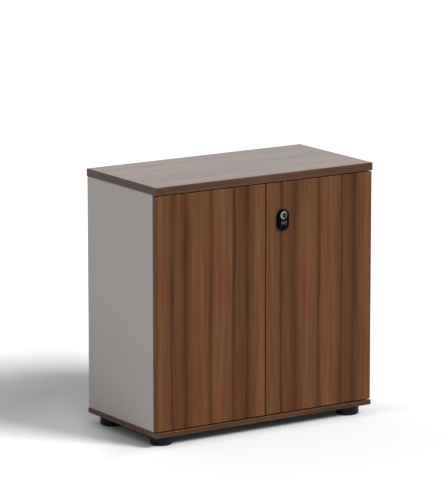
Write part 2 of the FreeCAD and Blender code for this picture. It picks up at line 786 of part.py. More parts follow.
def build_doors():
    extra_holes = {LEFT: left_door_holes(), RIGHT: right_door_holes()}
    for side, word in SIDES.items():
        core = box("DoorCore", inward(side, "band_thickness", "door_width - band_thickness"),
                   ("door_front", "door_back"),
                   ("door_bottom + band_thickness", "door_top - band_thickness"))
        tools = extra_holes[side] + cup_pockets(side)
        node(f"{word}_door_panel", cut("DoorPanel", core, *tools))
        band = edge_band("DoorBand", "XZ_Plane", "door_width", "door_height", "door_thickness")
        place(band, inward_at(side, "door_width / 2"), "door_back", "(door_bottom + door_top) / 2")
        node(f"{word}_door_edge_band", band)


def cup_pockets(side):
    tools = []
    for hinge in ("low_hinge", "high_hinge"):
        tools.append(rod("CupPocket", "cup_radius + fit_gap", "y",
                         ("door_back - cup_depth - fit_gap", "door_back + overrun"),
                         (inward_at(side, "cup_centre"), hinge)))
        for way in BOTH_WAYS:
            depth = ("door_back + flange_thickness - cup_screw_length - fit_gap", "door_back + overrun")
            height = f"{hinge} + {way} * cup_screw_spacing / 2"
            tools.append(rod("CupScrewHole", "cup_screw_radius + fit_gap", "y", depth,
                             (inward_at(side, "cup_screw_in"), height)))
    return tools


def left_door_holes():
    tools = [rod("StrikeScrewHole", "strike_screw_radius + fit_gap", "y",
                 ("door_back + strike_thickness - small_head_height - strike_screw_length - fit_gap",
                  "door_back + overrun"), ("strike_x", z)) for z in strike_screw_heights()]
    for x, z in bolt_screw_places():
        tools.append(rod("BoltScrewHole", "bolt_screw_radius + fit_gap", "y",
                         ("bolt_plate_face - bolt_screw_length - fit_gap", "door_back + overrun"), (x, z)))
    return tools


def right_door_holes():
    barrel = rod("BarrelHole", "barrel_radius + barrel_clearance", "y",
                 ("door_front - overrun", "door_back + overrun"), ("lock_x", "knob_z"))
    pocket = box("CagePocket", about("lock_x", "cage_outer + cage_gap"),
                 ("door_front - overrun", "cage_back + cage_gap"),
                 about("wheel_z", "cage_height + cage_gap"))
    return [barrel, pocket]


def strike_screw_heights():
    return [f"knob_z + {way} * strike_screw_spacing / 2" for way in BOTH_WAYS]


def build_strike():
    """Wear plate behind the left door's free edge, with sunk screw heads."""
    seat = "door_back + strike_thickness - small_head_height"
    plate = box("StrikeBlank", about("strike_x", "strike_width / 2"),
                ("door_back", "door_back + strike_thickness"), about("knob_z", "strike_height / 2"))
    beyond = "door_back + strike_thickness + overrun"
    tools, screws = [], []
    for z in strike_screw_heights():
        tools.append(rod("StrikeHole", "strike_screw_radius + fit_gap", "y",
                         ("door_back - overrun", beyond), ("strike_x", z)))
        tools.append(rod("StrikeSink", "small_head_radius + fit_gap", "y", (seat, beyond), ("strike_x", z)))
        screws.append(screw("StrikeScrew", SMALL_HEAD, ("strike_screw_radius", "strike_screw_length"), "y",
                            seat, -1, ("strike_x", z)))
    node("strike_plate", cut("StrikePlate", plate, *tools))
    node("strike_screws", gather("StrikeScrews", *screws))


def bolt_screw_places():
    return [(f"bolt_x + {way} * (bolt_plate_width / 2 - bolt_screw_margin)", height)
            for height in ("bolt_plate_top - bolt_screw_margin", "bolt_plate_bottom + bolt_screw_margin")
            for way in BOTH_WAYS]


def build_bolt():
    """Barrel bolt inside the left door, drawn back, and its keeper under the top."""
    depth = ("bolt_plate_face", "bolt_plate_face + guide_depth")
    width = about("bolt_x", "guide_width / 2")
    plate = box("BoltPlate", about("bolt_x", "bolt_plate_width / 2"), ("door_back", "bolt_plate_face"),
                ("bolt_plate_bottom", "bolt_plate_top"))
    upper = box("UpperGuide", width, depth,
                ("bolt_plate_top - guide_margin - guide_height", "bolt_plate_top - guide_margin"))
    lower = box("LowerGuide", width, depth,
                ("bolt_plate_bottom + guide_margin", "bolt_plate_bottom + guide_margin + guide_height"))
    tools = [rod("GuideBore", "bolt_radius + fit_gap", "z",
                 ("bolt_plate_bottom - overrun", "bolt_plate_top + overrun"), ("bolt_x", "bolt_y"))]
    screws = []
    for x, z in bolt_screw_places():
        tools.append(rod("BoltPlateHole", "bolt_screw_radius + fit_gap", "y",
                         ("door_back - overrun", "bolt_plate_face + overrun"), (x, z)))
        screws.append(screw("BoltScrew", SMALL_HEAD, ("bolt_screw_radius", "bolt_screw_length"), "y",
                            "bolt_plate_face", -1, (x, z)))
    node("bolt_body", cut("BoltBody", fuse("BoltBodyBlank", plate, upper, lower), *tools))
    node("bolt_screws", gather("BoltScrews", *screws))

    shaft = rod("BoltShaft", "bolt_radius", "z", ("bolt_top - bolt_length", "bolt_top"),
                ("bolt_x", "bolt_y"))
    handle = rod("BoltHandle", "bolt_handle_radius", "y", ("bolt_y", "bolt_y + bolt_handle_reach"),
                 ("bolt_x", "bolt_top - bolt_length + bolt_handle_height"))
    node("bolt_rod", fuse("BoltRod", shaft, handle))

    keeper = box("KeeperBlank", about("bolt_x", "keeper_width / 2"), about("bolt_y", "keeper_depth / 2"),
                 ("keeper_face", "side_top"))
    through = ("keeper_face - overrun", "side_top + overrun")
    tools = [rod("KeeperHole", "bolt_radius + bolt_hole_gap", "z", through, ("bolt_x", "bolt_y"))]
    screws = []
    for way in BOTH_WAYS:
        at = (f"bolt_x + {way} * keeper_screw_x", "bolt_y")
        tools.append(rod("KeeperScrewBore", "bolt_screw_radius + fit_gap", "z", through, at))
        screws.append(screw("KeeperScrew", SMALL_HEAD, ("bolt_screw_radius", "bolt_screw_length"), "z",
                            "keeper_face", 1, at))
    node("bolt_keeper", cut("BoltKeeper", keeper, *tools))
    node("keeper_screws", gather("KeeperScrews", *screws))


def pill_blank():
    """Upright pill of the lock's housing, with a rounded front edge."""
    body = doc.addObject("PartDesign::Body", "LockPill")
    sketch = sketch_on(body, "XZ_Plane", "PillOutline")
    radius = sheet.get("lock_width") / 2
    reach = sheet.get("lock_height") / 2 - radius
    ends = [Part.Circle(FreeCAD.Vector(0, way * reach, 0), AXES["z"], radius) for way in (1, -1)]
    sketch.addGeometry(Part.ArcOfCircle(ends[0], 0, math.pi), False)
    sketch.addGeometry(Part.ArcOfCircle(ends[1], math.pi, 2 * math.pi), False)
    for way in (-1, 1):
        sketch.addGeometry(Part.LineSegment(FreeCAD.Vector(way * radius, reach, 0),
                                            FreeCAD.Vector(way * radius, -reach, 0)), False)
    for first, first_end, second, second_end in ((0, 2, 2, 1), (2, 2, 1, 1), (1, 2, 3, 2), (3, 1, 0, 1)):
        sketch.addConstraint(Sketcher.Constraint("Tangent", first, first_end, second, second_end))
    sketch.addConstraint(Sketcher.Constraint("Vertical", 2))
    sketch.addConstraint(Sketcher.Constraint("Symmetric", 0, 3, 1, 3, -1, 1))
    constrain(sketch, "endRadius", "lock_width / 2", "Radius", 0, radius)
    constrain(sketch, "endSpacing", "lock_height - lock_width", "DistanceY", 1, 3, 0, 3, 2 * reach)
    block = pad(body, sketch, "lock_thickness")
    round_edges(body, block, "lock_round", front_edge(block))
    place(body, "lock_x", "door_front", "lock_z")
    return body


def build_lock():
    inside = "door_front - lock_thickness / 2"
    barrel = rod("LockBarrel", "barrel_radius", "y", (inside, "door_back + barrel_reach"),
                 ("lock_x", "knob_z"))
    cage = box("WheelCage", about("lock_x", "cage_outer"), (inside, "cage_back"),
               about("wheel_z", "cage_height"))
    tools = [
        rod("KnobRecess", "ring_radius + ring_gap", "y", ("lock_face - overrun", "lock_face + knob_recess"),
            ("lock_x", "knob_z")),
        rod("SpindleBore", "spindle_radius + fit_gap", "y",
            ("lock_face", "door_back + barrel_reach + overrun"), ("lock_x", "knob_z")),
        box("WheelRoom", about("lock_x", "cage_inner"), ("lock_face + face_wall", "cage_back + overrun"),
            about("wheel_z", "wheel_room")),
        rod("AxleBore", "axle_radius + fit_gap", "x",
            about("lock_x", "cage_inner + axle_in_wall + fit_gap"), ("wheel_y", "wheel_z")),
    ]
    for step in WHEELS.values():
        width = about(f"lock_x + {step} * wheel_pitch", "wheel_width / 2 + window_gap")
        tools.append(box("WheelWindow", width, ("lock_face - overrun", "lock_face + face_wall + overrun"),
                         about("wheel_z", "window_half")))
    node("lock_housing", cut("LockHousing", fuse("LockBlank", pill_blank(), barrel, cage), *tools))

    nut_span = ("door_back", "door_back + nut_thickness")
    nut = prism("NutBlank", NUT_FACETS, "nut_radius", "y", nut_span, ("lock_x", "knob_z"))
    bore = rod("NutBore", "barrel_radius + fit_gap", "y",
               ("door_back - overrun", "door_back + nut_thickness + overrun"), ("lock_x", "knob_z"))
    node("lock_nut", cut("LockNut", nut, bore))

    node("dial_axle", rod("DialAxle", "axle_radius", "x", about("lock_x", "cage_inner + axle_in_wall"),
                          ("wheel_y", "wheel_z")))
    for word, step in WHEELS.items():
        centre = f"lock_x + {step} * wheel_pitch"
        blank = prism("WheelBlank", WHEEL_FACETS, "wheel_radius", "x", about(centre, "wheel_width / 2"),
                      ("wheel_y", "wheel_z"))
        bore = rod("WheelBore", "axle_radius + fit_gap", "x", about(centre, "wheel_width / 2 + overrun"),
                   ("wheel_y", "wheel_z"))
        node(f"number_wheel_{word}", cut("NumberWheel", blank, bore))


def knob_ring(axis):
    """Bright ring round the knob, with a sloping front that ends in a narrow crest."""
    rim = rod("RingRim", "ring_radius", "y", ("lock_face", "knob_back"), axis)
    slope = cone("RingSlope", ("ring_bore + ring_crest", "ring_radius"), "y", ("ring_front", "lock_face"), axis)
    bore = rod("RingBore", "ring_bore", "y", ("ring_front - overrun", "knob_back + overrun"), axis)
    return cut("KnobRing", fuse("RingBlank", rim, slope), bore)


def build_knob():
    """Knob, its ring, and the cam on the end of its spindle, hanging down when unlocked."""
    axis = ("lock_x", "knob_z")
    disc = rod("KnobDisc", "knob_radius", "y", ("lock_face - knob_disc_proud", "knob_back"), axis)
    grip = box("KnobGrip", about("lock_x", "grip_width / 2"), ("lock_face - knob_proud", "knob_back"),
               about("knob_z", "grip_height / 2"))
    spindle = rod("Spindle", "spindle_radius", "y", ("lock_face", "cam_front"), axis)
    tenon = box("Tenon", about("lock_x", "tenon_size / 2"), ("door_back", "cam_back"),
                about("knob_z", "tenon_size / 2"))
    thread = rod("CamScrewHole", "cam_screw_radius + fit_gap", "y",
                 ("cam_back - cam_screw_length - fit_gap", "cam_back + overrun"), axis)
    node("lock_knob", cut("LockKnob", fuse("KnobBlank", disc, grip, spindle, tenon), thread))
    node("knob_ring", knob_ring(axis))

    thickness = ("cam_front", "cam_back")
    hub = rod("CamHub", "hub_radius", "y", thickness, axis)
    tongue_end = "knob_z - tongue_length + tongue_width / 2"
    tongue = box("CamTongue", about("lock_x", "tongue_width / 2"), thickness, (tongue_end, "knob_z"))
    tip = rod("CamTip", "tongue_width / 2", "y", thickness, ("lock_x", tongue_end))
    socket = box("TenonHole", about("lock_x", "tenon_size / 2 + fit_gap"),
                 ("cam_front - overrun", "cam_back + overrun"), about("knob_z", "tenon_size / 2 + fit_gap"))
    node("lock_cam", cut("LockCam", fuse("CamBlank", hub, tongue, tip), socket))
    node("cam_screw", screw("CamScrew", ("cam_screw_head", "large_head_height"),
                            ("cam_screw_radius", "cam_screw_length"), "y", "cam_back", -1, axis))


def foot_spots():
    return [(f"{side} * foot_x", y, "foot_height", UPRIGHT)
            for y in ("front_foot", "back_foot") for side in SIDES]


def foot_pad():
    """Turned foot: bevelled sole, straight wall and a small shoulder under the base."""
    body = doc.addObject("PartDesign::Body", "FootPad")
    sketch = sketch_on(body, "XZ_Plane", "FootProfile")
    profile = [("foot_sole_radius", None), ("foot_radius", "foot_bevel_height"),
               ("foot_radius", "foot_shoulder_height"), ("foot_shoulder_radius", "foot_top"),
               (None, "foot_top"), (None, None)]
    points = [tuple(sheet.get(name) if name else 0 for name in pair) + (0,) for pair in profile]
    first = draw_loop(sketch, points)
    for index, (across, up) in enumerate(profile):
        line = first + index
        for name, kind, axis, value in ((across, "DistanceX", -2, points[index][0]),
                                        (up, "DistanceY", -1, points[index][1])):
            if name:
                constrain(sketch, f"point{index}{kind}", name, kind, -1, 1, line, 1, value)
            else:
                sketch.addConstraint(Sketcher.Constraint("PointOnObject", line, 1, axis))
    turned = body.newObject("PartDesign::Revolution", "FootTurned")
    turned.Profile = sketch
    turned.ReferenceAxis = (sketch, ["V_Axis"])
    doc.recompute()
    return body


def build_feet():
    barrel = rod("InsertBarrel", "insert_radius", "z", ("0", "insert_length"), ("0", "0"))
    flange = rod("InsertFlange", "insert_flange_radius", "z", ("0", "insert_flange_thickness"), ("0", "0"))
    bore = rod("InsertBore", "stem_bore", "z", ("-overrun", "insert_length + overrun"), ("0", "0"))
    insert = cut("Insert", fuse("InsertBlank", barrel, flange), bore)
    node("foot_inserts", copies("FootInserts", insert, foot_spots()))
    foot = cut("Foot", foot_pad(), rod("StemSeat", "stem_radius + fit_gap", "z",
                                       ("stem_bottom - fit_gap", "foot_height"), ("0", "0")))
    stem = rod("Stem", "stem_radius", "z", ("stem_bottom", "foot_height + stem_in_base"), ("0", "0"))
    corners = ("front_left", "front_right", "back_left", "back_right")
    for corner, (x, y, z, turn) in zip(corners, foot_spots()):
        node(f"foot_{corner}", copies("FootAt", foot, [(x, y, "0", turn)]))
        node(f"stem_{corner}", copies("StemAt", stem, [(x, y, "0", turn)]))


def check_document():
    """Every object is up to date, and every sub-part is a valid shape of solids."""
    for item in doc.Objects:
        if "Invalid" in item.State or "Error" in item.State:
            raise RuntimeError(f"{item.Label} failed: {item.State}")
    for piece in nodes:
        shape = piece.Shape
        if shape.isNull() or not shape.isValid() or not shape.Solids:
            raise RuntimeError(f"{piece.Label} has no valid solid")


def write_parts():
    os.makedirs("parts", exist_ok=True)
    for piece in nodes:
        piece.Shape.exportStep(f"parts/{piece.Label}.step")
        print(f"{piece.Label}: {len(piece.Shape.Solids)} solid(s), {piece.Shape.Volume:.1f} mm3")


fill_sheet()
build_top()
build_base()
build_sides()
build_back_and_shelf()
build_joints()
build_hinges()
build_doors()
build_strike()
build_bolt()
build_lock()
build_knob()
build_feet()
doc.recompute()
check_document()
write_parts()
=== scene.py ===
import json
import math

import bpy
from mathutils import Matrix, Vector


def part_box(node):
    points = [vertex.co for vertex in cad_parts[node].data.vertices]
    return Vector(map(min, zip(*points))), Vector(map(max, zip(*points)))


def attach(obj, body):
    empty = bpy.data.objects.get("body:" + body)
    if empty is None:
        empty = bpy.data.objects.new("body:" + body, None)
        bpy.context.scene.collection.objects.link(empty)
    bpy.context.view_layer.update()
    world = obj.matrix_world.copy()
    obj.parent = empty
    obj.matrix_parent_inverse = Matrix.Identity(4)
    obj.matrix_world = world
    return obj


# Two-door storage cabinet, in metres, doors facing -Y: materials, figures, camera, floor and light.

MM = 0.001
WHITE = (1, 1, 1, 1)
QUARTER_TURN = math.pi / 2
MATRIX_ROWS = 4

# Camera, with its angles in degrees
IMAGE_WIDTH = 448
IMAGE_HEIGHT = 480
SENSOR = 36
FOCAL_PIXELS = 3666.2
CAMERA_PLACE = (-6.1583, -9.3383, 2.833)
CAMERA_YAW = 33.287
CAMERA_PITCH = 11.419
LEVEL_TILT = 90
CLIP_END = 200

# Light: one broad soft sun from the front, a little to the right, in a white room
SKY_LIGHT = 0.355
SUN_FROM = (0.36, -0.62, 0.57)
SUN_ANGLE = 22
SUN_STRENGTH = 2.8

# Floor, and how much it glows to the eye: far off, by the distance from the middle; nearer, by the depth.
# The near glow starts beside the cabinet, at a width that leans with the depth, and in front of it.
FLOOR_SIZE = 60
FLOOR_COLOR = (0.97, 0.98, 0.99, 1)
FAR_GLOW = 0.28
FAR_SPAN = (0.7, 1.5)
NEAR_GLOW = 0.135
NEAR_SPAN = (0.15, 0.6)
BESIDE_SPAN = (0.42, 0.52)
BESIDE_LEAN = 0.4
BEFORE_SPAN = (-0.155, -0.23)

# Range that a noise keeps to for the most part, and its middle
NOISE_LOW = 0.3
NOISE_HIGH = 0.7
NOISE_MIDDLE = 0.5
# Sockets of a colour mix
MIX_FIRST = 6
MIX_SECOND = 7
MIX_RESULT = 2

# Every noise below is given by its scale, detail and roughness, every bump by its strength and depth,
# and every colour in linear light.

# Walnut print
WALNUT_DARK = (0.030, 0.010, 0.002, 1)
WALNUT_MID = (0.092, 0.034, 0.010, 1)
WALNUT_LIGHT = (0.178, 0.077, 0.031, 1)
RED_TINT = (1.02, 0.84, 0.83, 1)
# Painted shade: a near-black sheet on the underside of the base darkens the shadow under the cabinet
UNDERSIDE_SHADE_COLOR = (0.012, 0.012, 0.013, 1)
WOOD_STOPS = ((0.18, WALNUT_DARK), (0.86, WALNUT_LIGHT), (0.5, WALNUT_MID))
# Refractive index, mean roughness and gain of the print's tone of each finish
TOP_FINISH = (1.40, 0.22, 1.25)
EDGE_FINISH = (1.32, 0.24, 0.76)
DOOR_FINISH = (1.22, 0.26, 1.04)
FINISH_SPREAD = 0.04
DULL_GLOSS = 0.36
BRIGHT_GLOSS = 0.64
# Painted light: the strips at the left and right of the base, which face along x, get a lighter tone, as if
# more light fell on them
END_PAINTED_LIGHT_GAIN = 1.4
END_FACING = 0.7
FLOW_NOISE = (5, 1.0, 0.5)
BROAD_NOISE = (17, 2.0, 0.5)
BAND_NOISE = (80, 3.0, 0.6)
FIBRE_NOISE = (420, 2.0, 0.7)
FADE_NOISE = (9, 1.0, 0.5)
RED_NOISE = (14, 1.0, 0.5)
FLOW_STRETCH = 0.5
FLOW_SWAY = 0.012
GRAIN_STRETCH = 0.035
PATCH_STRETCH = 0.25
BROAD_TONES = (0.12, 0.84)
FADE_SHARES = (0.20, 0.36)
RED_STARTS = (0.40, 0.70)
FIBRE_BUMP = (0.10, 0.15 * MM)
# Weights of the print's streaks and of the bands between them, on doors and on boards
DOOR_WEIGHTS = (0.65, 0.20)
BOARD_WEIGHTS = (0.50, 0.32)
FIBRE_WEIGHT = 0.07
# Streaks of the board's print across one door: place as a share of its width, and tone from dark to light
STREAK_SHARES = (
    (0.00, 0.70), (0.02, 0.72), (0.07, 0.70), (0.120, 0.55), (0.136, 0.16), (0.146, 0.14), (0.160, 0.48),
    (0.20, 0.56), (0.230, 0.42), (0.252, 0.18), (0.270, 0.14), (0.290, 0.38), (0.32, 0.62), (0.40, 0.76),
    (0.470, 0.64), (0.487, 0.22), (0.498, 0.24), (0.514, 0.60), (0.53, 0.72), (0.60, 0.82), (0.683, 0.62),
    (0.698, 0.12), (0.709, 0.14), (0.724, 0.46), (0.77, 0.42), (0.802, 0.30), (0.818, 0.08), (0.834, 0.10),
    (0.856, 0.44), (0.90, 0.66), (0.95, 0.84), (1.00, 0.72),
)
STREAK_MEAN = 0.55

# Grey melamine: colour, and colour of its specks
GREY_BOARD = ((0.437, 0.401, 0.374, 1), (0.38, 0.349, 0.324, 1))
GREY_EDGE = ((0.42, 0.385, 0.359, 1), (0.366, 0.335, 0.312, 1))
CLOUD_NOISE = (9, 2.0, 0.5)
CLOUD_SHARE = 0.25
PEARL_NOISE = (900, 2.0, 0.6)
PEARL_SPAN = (0.45, 0.75)
SPECK_SHARE = 0.35
PEARL_ROUGHNESS = (0.50, 0.60)
PEARL_BUMP = (0.15, 0.08 * MM)

# Metals: colour, dulled colour, stretch of the brush marks along x, y and z, lowest and highest roughness
CAST_ZINC = ((0.50, 0.51, 0.52, 1), (0.40, 0.41, 0.42, 1), (1, 1, 1), (0.38, 0.55))
NICKEL_PLATE = ((0.66, 0.63, 0.58, 1), (0.58, 0.55, 0.50, 1), (1, 1, 0.05), (0.20, 0.34))
PLATED_STEEL = ((0.60, 0.61, 0.62, 1), (0.50, 0.51, 0.53, 1), (1, 0.1, 1), (0.24, 0.40))
POLISHED_CHROME = ((0.30, 0.30, 0.31, 1), (0.25, 0.25, 0.26, 1), (1, 1, 1), (0.06, 0.12))
BRUSH_NOISE = (700, 3.0, 0.6)
TARNISH_NOISE = (60, 2.0, 0.5)
TARNISH_SHARE = 0.6
BRUSH_BUMP = (0.05, 0.03 * MM)

# Plastics: colour, hazed colour, scale of the grain, lowest and highest roughness, depth of the grain
# and specular level
LOCK_BLACK = ((0.0015, 0.0015, 0.002, 1), (0.0025, 0.0025, 0.003, 1), 1500, (0.22, 0.32), 0.02 * MM, 0.02)
KNOB_BLACK = ((0.010, 0.010, 0.012, 1), (0.014, 0.014, 0.016, 1), 1500, (0.30, 0.40), 0.02 * MM, 0.28)
WHEEL_BLACK = ((0.004, 0.004, 0.005, 1), (0.007, 0.007, 0.008, 1), 1800, (0.42, 0.55), 0.02 * MM, 0.02)
FOOT_BLACK = ((0.005, 0.006, 0.008, 1), (0.009, 0.010, 0.013, 1), 700, (0.28, 0.40), 0.05 * MM, 0.11)
FIGURE_WHITE = ((0.72, 0.72, 0.70, 1), (0.64, 0.64, 0.62, 1), 1200, (0.45, 0.60), 0.01 * MM, 0.5)
MOULD_DETAIL = 2.0
MOULD_ROUGHNESS = 0.6
MOULD_STRENGTH = 0.12
HAZE_NOISE = (30, 2.0, 0.5)
HAZE_SHARE = 0.7

# Raw beech
BEECH_DARK = (0.52, 0.33, 0.16, 1)
BEECH_LIGHT = (0.66, 0.47, 0.27, 1)
RAY_NOISE = (900, 2.0, 0.6)
RAY_STRETCH = 0.08
BEECH_ROUGHNESS = (0.55, 0.7)
RAY_BUMP = (0.2, 0.1 * MM)

# Figures on the number wheels; their height is a share of the type's size
WHEEL_NAMES = ("left", "middle", "right")
SHOWN_FIGURES = (4, 2, 9)
FIGURES = 10
FIGURE_HEIGHT = 3.0 * MM
TYPE_SHARE = 0.7
FIGURE_SWELL = 0.09 * MM
FIGURE_LIFT = 0.02 * MM
FIGURE_DEPTH = 0.03 * MM


class Shading:
    """A material under construction: its node tree, with short calls for the nodes used here."""

    def __init__(self, name):
        self.material = bpy.data.materials.new(name)
        self.material.use_nodes = True
        self.tree = self.material.node_tree
        self.surface = self.tree.nodes["Principled BSDF"]
        coordinates = self.tree.nodes.new("ShaderNodeTexCoord")
        self.position = coordinates.outputs["Object"]
        self.normal = coordinates.outputs["Normal"]
        self.axis = self.split(self.position)

    def set(self, name, value):
        self.surface.inputs[name].default_value = value

    def link(self, name, value):
        self.feed(self.surface.inputs[name], value)

    def feed(self, socket, value):
        if isinstance(value, bpy.types.NodeSocket):
            self.tree.links.new(value, socket)
        else:
            socket.default_value = value

    def math(self, operation, first, second=0.0):
        node = self.tree.nodes.new("ShaderNodeMath")
        node.operation = operation
        self.feed(node.inputs[0], first)
        self.feed(node.inputs[1], second)
        return node.outputs[0]

    def length(self, vector):
        node = self.tree.nodes.new("ShaderNodeVectorMath")
        node.operation = "LENGTH"
        self.feed(node.inputs[0], vector)
        return node.outputs["Value"]

    def split(self, vector):
        node = self.tree.nodes.new("ShaderNodeSeparateXYZ")
        self.feed(node.inputs[0], vector)
        return dict(zip("xyz", node.outputs))

    def vector(self, x, y, z):
        node = self.tree.nodes.new("ShaderNodeCombineXYZ")
        for socket, value in zip(node.inputs, (x, y, z)):
            self.feed(socket, value)
        return node.outputs[0]

    def sum_of(self, axes):
        """Coordinate along one axis, or the sum of those along several."""
        total, *others = (self.axis[name] for name in axes)
        for other in others:
            total = self.math("ADD", total, other)
        return total

    def drawn_out(self, width, length, stretch):
        """Plane of a grain that is drawn out along its length."""
        return self.vector(width, self.math("MULTIPLY", length, stretch), 0.0)

    def noise(self, vector, scale, detail, roughness):
        node = self.tree.nodes.new("ShaderNodeTexNoise")
        self.feed(node.inputs["Vector"], vector)
        node.inputs["Scale"].default_value = scale
        node.inputs["Detail"].default_value = detail
        node.inputs["Roughness"].default_value = roughness
        return node.outputs["Fac"]

    def spread(self, value, low, high, start=NOISE_LOW, end=NOISE_HIGH):
        """Value from start..end laid over low..high."""
        node = self.tree.nodes.new("ShaderNodeMapRange")
        self.feed(node.inputs["Value"], value)
        for name, number in (("From Min", start), ("From Max", end), ("To Min", low), ("To Max", high)):
            node.inputs[name].default_value = number
        return node.outputs[0]

    def ramp(self, value, stops):
        node = self.tree.nodes.new("ShaderNodeValToRGB")
        node.color_ramp.interpolation = "LINEAR"
        elements = node.color_ramp.elements
        given = len(elements)
        for index, (place, color) in enumerate(stops):
            element = elements[index] if index < given else elements.new(place)
            element.position = place
            element.color = color
        self.feed(node.inputs[0], value)
        return node.outputs[0]

    def mix(self, share, first, second, blend="MIX"):
        node = self.tree.nodes.new("ShaderNodeMix")
        node.data_type = "RGBA"
        node.blend_type = blend
        self.feed(node.inputs[0], share)
        self.feed(node.inputs[MIX_FIRST], first)
        self.feed(node.inputs[MIX_SECOND], second)
        return node.outputs[MIX_RESULT]

    def color(self, value):
        self.link("Base Color", value)

    def roughness(self, value):
        self.link("Roughness", value)

    def bump(self, height, strength, depth):
        node = self.tree.nodes.new("ShaderNodeBump")
        node.inputs["Strength"].default_value = strength
        node.inputs["Distance"].default_value = depth
        self.feed(node.inputs["Height"], height)
        self.link("Normal", node.outputs[0])


def grey_tone(tone):
    return (tone, tone, tone, 1)


def walnut(name, across, along, finish, streaks=None, shade_below=None, painted_light_ends=False):
    """Printed walnut board. Across and along name the axes of the grain; streaks gives where the print of
    one door starts and how wide it repeats, shade_below the height below which a board gets a painted
    dark shade on its underside, and painted_light_ends says that strips facing along x are painted lighter."""
    shade = Shading(name)
    ior, roughness, gain = finish
    width, length = shade.sum_of(across), shade.sum_of(along)
    flow = shade.noise(shade.drawn_out(width, length, FLOW_STRETCH), *FLOW_NOISE)
    sway = shade.math("MULTIPLY", shade.math("SUBTRACT", flow, NOISE_MIDDLE), FLOW_SWAY)
    width = shade.math("ADD", width, sway)
    grain = shade.drawn_out(width, length, GRAIN_STRETCH)
    patches = shade.drawn_out(width, length, PATCH_STRETCH)
    bands = shade.spread(shade.noise(grain, *BAND_NOISE), 0.0, 1.0)
    fibres = shade.spread(shade.noise(grain, *FIBRE_NOISE), 0.0, 1.0)
    if streaks:
        start, period = streaks
        share = shade.math("FRACT", shade.math("DIVIDE", shade.math("SUBTRACT", width, start), period))
        streak_tone = shade.ramp(share, [(place, grey_tone(tone)) for place, tone in STREAK_SHARES])
        fading = shade.spread(shade.noise(patches, *FADE_NOISE), *FADE_SHARES)
        print_tone = shade.mix(fading, streak_tone, grey_tone(STREAK_MEAN))
        print_weight, band_weight = DOOR_WEIGHTS
    else:
        print_tone = shade.spread(shade.noise(grain, *BROAD_NOISE), *BROAD_TONES)
        print_weight, band_weight = BOARD_WEIGHTS
    tone = 0.0
    for layer, weight in ((print_tone, print_weight), (bands, band_weight), (fibres, FIBRE_WEIGHT)):
        tone = shade.math("ADD", tone, shade.math("MULTIPLY", layer, weight * gain))
    # Painted light: faces that look along x are made lighter
    if painted_light_ends:
        sideways = shade.math("ABSOLUTE", shade.split(shade.normal)["x"])
        lit_end_face = shade.math("GREATER_THAN", sideways, END_FACING)
        tone = shade.math("MULTIPLY", tone, shade.spread(lit_end_face, 1, END_PAINTED_LIGHT_GAIN, 0, 1))
    wood = shade.ramp(tone, WOOD_STOPS)
    redness = shade.spread(shade.noise(patches, *RED_NOISE), 0.0, 1.0, *RED_STARTS)
    color = shade.mix(redness, wood, RED_TINT, "MULTIPLY")
    # Painted shade: below the given height the board turns near black
    if shade_below:
        color = shade.mix(shade.math("LESS_THAN", shade.axis["z"], shade_below), color, UNDERSIDE_SHADE_COLOR)
    shade.color(color)
    shade.set("IOR", ior)
    shade.link("Specular IOR Level", shade.spread(tone, DULL_GLOSS, BRIGHT_GLOSS, 0.0, gain))
    shade.roughness(shade.spread(fibres, roughness + FINISH_SPREAD, roughness - FINISH_SPREAD, 0.0, 1.0))
    shade.bump(fibres, *FIBRE_BUMP)
    return shade.material


def melamine(name, color, speck):
    """Plain board with a fine pearl structure."""
    shade = Shading(name)
    cloud = shade.spread(shade.noise(shade.position, *CLOUD_NOISE), 0.0, 1.0)
    grains = shade.noise(shade.position, *PEARL_NOISE)
    tint = shade.mix(shade.math("MULTIPLY", cloud, CLOUD_SHARE), color, speck)
    shade.color(shade.mix(shade.spread(grains, 0.0, SPECK_SHARE, *PEARL_SPAN), tint, speck))
    shade.roughness(shade.spread(grains, *PEARL_ROUGHNESS))
    shade.bump(grains, *PEARL_BUMP)
    return shade.material


def metal(name, color, dull, brush, roughness):
    """Bare or plated metal with fine brush marks and a slight tarnish."""
    shade = Shading(name)
    brushed = (shade.math("MULTIPLY", shade.axis[axis], stretch) for axis, stretch in zip("xyz", brush))
    marks = shade.noise(shade.vector(*brushed), *BRUSH_NOISE)
    tarnish = shade.noise(shade.position, *TARNISH_NOISE)
    shade.color(shade.mix(shade.spread(tarnish, 0.0, TARNISH_SHARE), color, dull))
    shade.roughness(shade.spread(marks, *roughness))
    shade.set("Metallic", 1.0)
    shade.bump(marks, *BRUSH_BUMP)
    return shade.material


def plastic(name, color, haze, grain_scale, roughness, depth, specular):
    """Moulded plastic with a fine spark-eroded grain and a slight haze."""
    shade = Shading(name)
    grains = shade.noise(shade.position, grain_scale, MOULD_DETAIL, MOULD_ROUGHNESS)
    hazed = shade.spread(shade.noise(shade.position, *HAZE_NOISE), 0.0, HAZE_SHARE)
    shade.color(shade.mix(hazed, color, haze))
    shade.roughness(shade.spread(grains, *roughness))
    shade.set("Specular IOR Level", specular)
    shade.bump(grains, MOULD_STRENGTH, depth)
    return shade.material


def beech(name):
    """Raw wood with its fibres along z."""
    shade = Shading(name)
    length = shade.math("MULTIPLY", shade.axis["z"], RAY_STRETCH)
    grain = shade.vector(shade.axis["x"], shade.axis["y"], length)
    rays = shade.spread(shade.noise(grain, *RAY_NOISE), 0.0, 1.0)
    shade.color(shade.mix(rays, BEECH_DARK, BEECH_LIGHT))
    shade.roughness(shade.spread(rays, *BEECH_ROUGHNESS, 0.0, 1.0))
    shade.bump(rays, *RAY_BUMP)
    return shade.material


